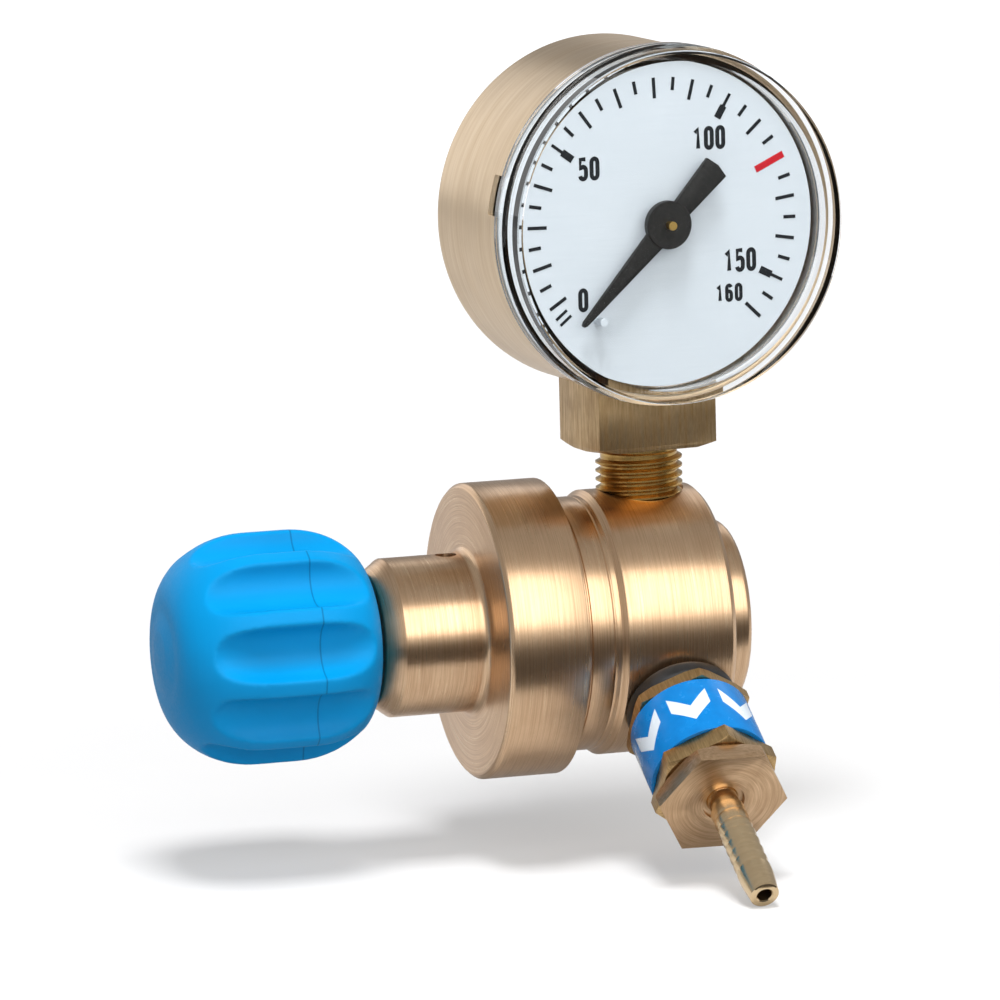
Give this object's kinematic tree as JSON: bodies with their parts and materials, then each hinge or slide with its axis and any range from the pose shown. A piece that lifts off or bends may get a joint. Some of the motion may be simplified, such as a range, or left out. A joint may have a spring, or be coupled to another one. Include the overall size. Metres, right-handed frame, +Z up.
{
  "type": "oxygen regulator",
  "caption": "Brass gas pressure regulator with a fluted blue adjusting knob, a round contents gauge and an angled hose barb outlet with a check valve.",
  "frame": {"origin": "centre of the inlet's mouth, on the main axis", "axes": "+X is the main axis, out of the inlet's mouth, with the adjusting knob at the -X end; +Z is up along the gauge's stem; -Y is towards the dial's face and the outlet"},
  "size_m": [0.0793, 0.0591, 0.0933],
  "materials": {
    "turned_brass": "turned, fine circular tool marks",
    "gauge_brass": "satin",
    "movement_brass": "stamped, bright",
    "tube_bronze": "drawn, satin",
    "spring_steel": "bright",
    "plated_steel": "zinc plated",
    "blue_knob_plastic": "moulded, satin",
    "blue_band_plastic": "printed film, gloss",
    "clear_plastic": "clear, gloss",
    "white_dial_paint": "satin white",
    "black_pointer_paint": "satin black",
    "black_rubber": "matt",
    "white_nylon": "matt"
  },
  "bodies": {
    "housing": {"inlet_connector": "turned_brass", "inlet_filter": "tube_bronze", "inlet_gasket": "white_nylon", "regulator_body": "turned_brass", "bonnet": "turned_brass", "slip_ring": "turned_brass", "diaphragm": "black_rubber", "range_spring": "spring_steel", "valve_seat": "turned_brass", "seat_gasket": "white_nylon", "poppet_spring": "spring_steel", "outlet_seal": "black_rubber", "check_valve_body": "turned_brass", "label_sleeve": "blue_band_plastic", "check_spring": "spring_steel", "connector_gasket": "white_nylon", "outlet_connector": "turned_brass", "gauge_case": "gauge_brass", "gauge_window": "clear_plastic", "gauge_socket": "turned_brass", "gauge_gasket": "white_nylon", "dial": "white_dial_paint", "stop_pin": "white_dial_paint", "movement_front_plate": "movement_brass", "movement_back_plate": "movement_brass", "movement_pillars": "movement_brass", "movement_screws": "plated_steel", "case_screws": "plated_steel", "case_spacers": "movement_brass", "bourdon_tube": "tube_bronze", "hairspring": "tube_bronze"},
    "adjuster": {"spring_button": "turned_brass", "thrust_ball": "spring_steel"},
    "knob": {"adjusting_knob": "blue_knob_plastic", "adjusting_spindle": "plated_steel"},
    "valve": {"diaphragm_plate": "turned_brass", "diaphragm_stud": "turned_brass", "valve_pin": "spring_steel", "valve_poppet": "turned_brass", "poppet_disc": "white_nylon"},
    "pointer": {"pointer": "black_pointer_paint", "pointer_arbor": "movement_brass"},
    "sector": {"sector_gear": "movement_brass"},
    "tube_tip": {"tube_end_piece": "movement_brass", "movement_link": "movement_brass"},
    "check_valve": {"check_poppet": "turned_brass", "check_poppet_seal": "black_rubber"}
  },
  "joints": [
    {"name": "knob_turn", "type": "hinge", "parent": "adjuster", "child": "knob", "pos_m": [0, 0, 0], "axis": [1, 0, 0], "range_deg": [-1081, 91]},
    {"name": "adjusting_slide", "type": "slide", "parent": "housing", "child": "adjuster", "axis": [1, 0, 0], "range_m": [-0.003, 0.00025], "deforming": ["range_spring"]},
    {"name": "valve_lift", "type": "slide", "parent": "housing", "child": "valve", "axis": [1, 0, 0], "range_m": [0, 0.0005], "stiffness_N_per_m": 600, "springref_m": -0.0005, "deforming": ["diaphragm", "range_spring", "poppet_spring"]},
    {"name": "sector_swing", "type": "hinge", "parent": "housing", "child": "sector", "pos_m": [-0.00983, 0, 0.0406], "axis": [0.1004, -0.995, 0], "range_deg": [0, 54], "stiffness_Nm_per_rad": 0.0005, "springref_deg": -5.73, "deforming": ["bourdon_tube", "hairspring"]},
    {"name": "pointer_turn", "type": "hinge", "parent": "housing", "child": "pointer", "pos_m": [-0.00983, 0, 0.0466], "axis": [-0.1004, 0.995, 0], "range_deg": [0, 270.5], "deforming": ["hairspring"]},
    {"name": "tube_tip_slide", "type": "slide", "parent": "housing", "child": "tube_tip", "axis": [0.995, 0.1004, 0], "range_m": [0, 0.0022], "deforming": ["bourdon_tube"]},
    {"name": "check_valve_lift", "type": "slide", "parent": "housing", "child": "check_valve", "axis": [0, -0.8572, -0.515], "range_m": [0, 0.001], "stiffness_N_per_m": 40, "springref_m": -0.001, "deforming": ["check_spring"]}
  ],
  "couplings": [
    {"joint": "knob_turn", "follows": "adjusting_slide", "rad_per_m": 6283.2},
    {"joint": "pointer_turn", "follows": "sector_swing", "ratio": 5},
    {"joint": "tube_tip_slide", "follows": "sector_swing", "m_per_rad": 0.0023122}
  ]
}
